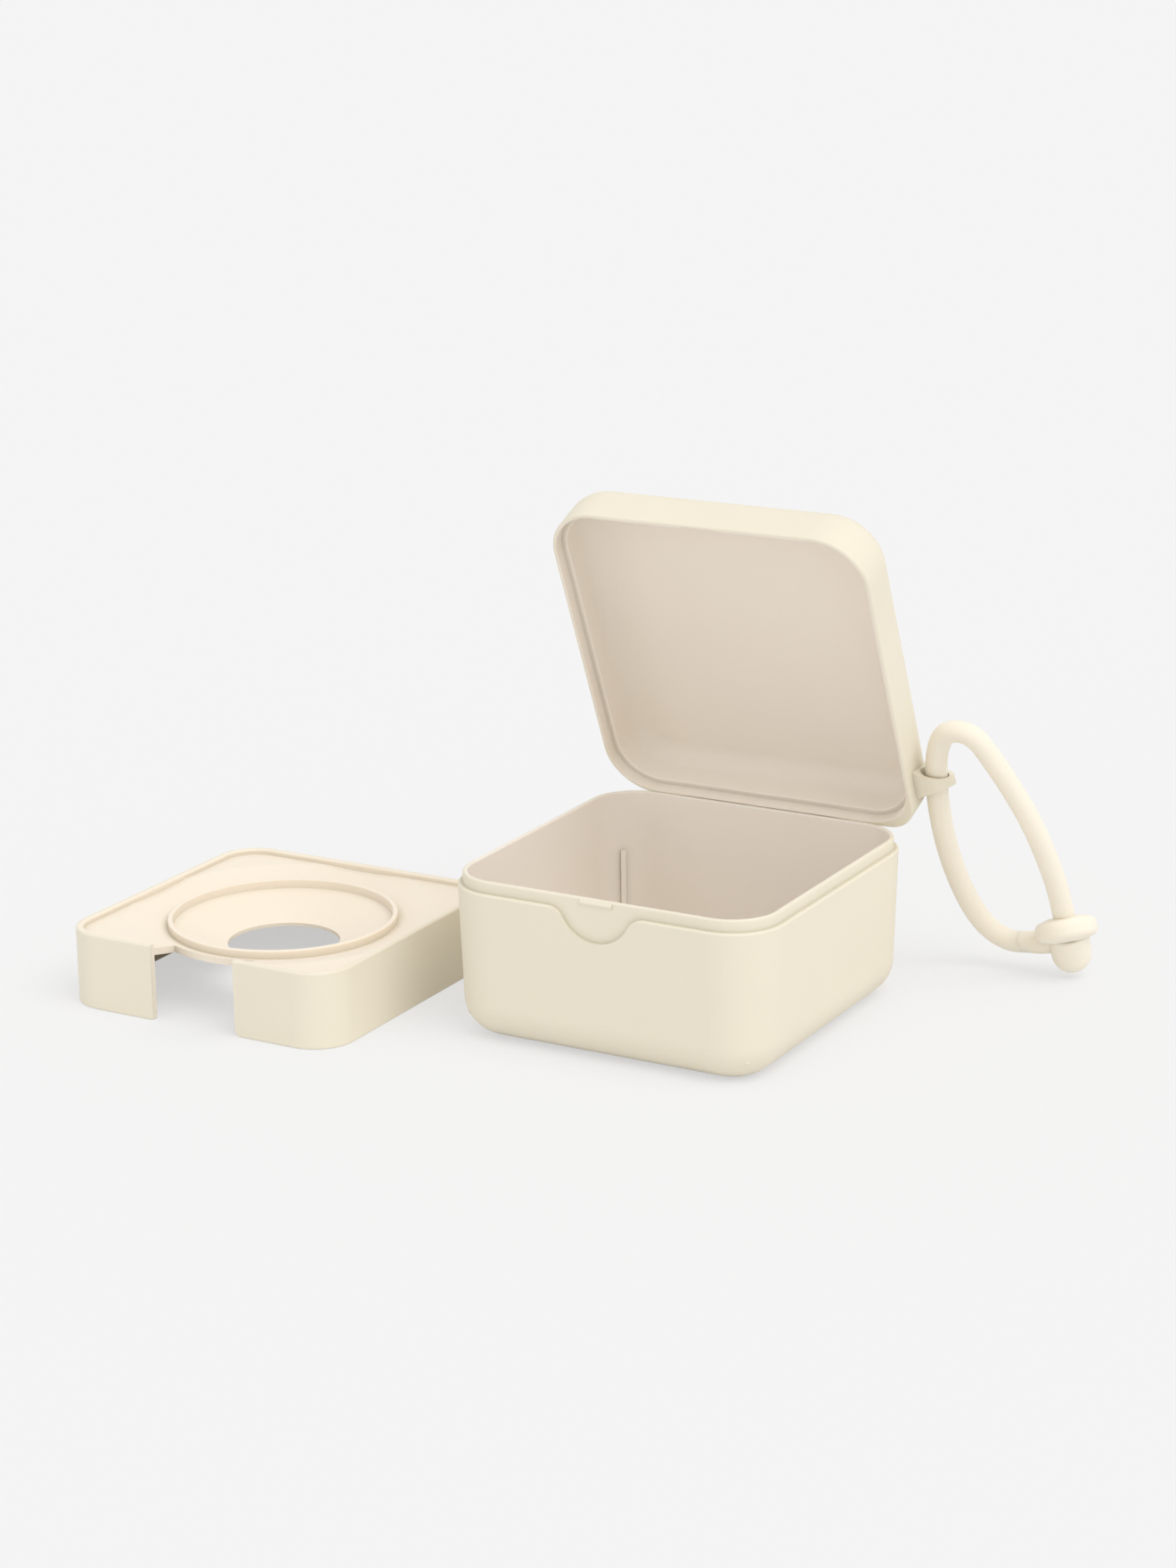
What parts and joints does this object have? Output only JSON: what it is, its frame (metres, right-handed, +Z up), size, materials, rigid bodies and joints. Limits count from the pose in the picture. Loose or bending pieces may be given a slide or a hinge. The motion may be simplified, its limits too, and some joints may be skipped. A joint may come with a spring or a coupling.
{
  "type": "pacifier case",
  "caption": "Square plastic pacifier case with a hinged lid, a loose inner tray with a collar and hole, and a looped silicone strap with ring and knob through an eyelet on the lid.",
  "frame": {"origin": "on the table, under the middle of the base", "axes": "+X right along the front of the case, +Y back towards the hinge, +Z up"},
  "size_m": [0.2023, 0.1255, 0.1124],
  "materials": {
    "case_plastic": "fine satin, moulded",
    "pin_plastic": "smooth, extruded",
    "strap_silicone": "matt silicone"
  },
  "bodies": {
    "base": {"case_base": "case_plastic", "hinge_pin": "pin_plastic"},
    "lid": {"case_lid": "case_plastic"},
    "tray": {"pacifier_tray": "case_plastic"},
    "strap": {"strap_cord": "strap_silicone", "strap_ring": "strap_silicone", "strap_knob": "strap_silicone"}
  },
  "joints": [
    {"name": "lid_hinge", "type": "hinge", "parent": "base", "child": "lid", "pos_m": [0, 0.0408, 0.0354], "axis": [-1, 0, 0], "range_deg": [-66.7, 113.3]},
    {"name": "tray_lift", "type": "slide", "parent": "base", "child": "tray", "axis": [0, 0, 1], "range_m": [0, 0.06]},
    {"name": "strap_swing", "type": "hinge", "parent": "lid", "child": "strap", "pos_m": [0.0424, 0.04231, 0.04857], "axis": [0, 0.3955, -0.9184], "range_deg": [-70, 6]}
  ]
}
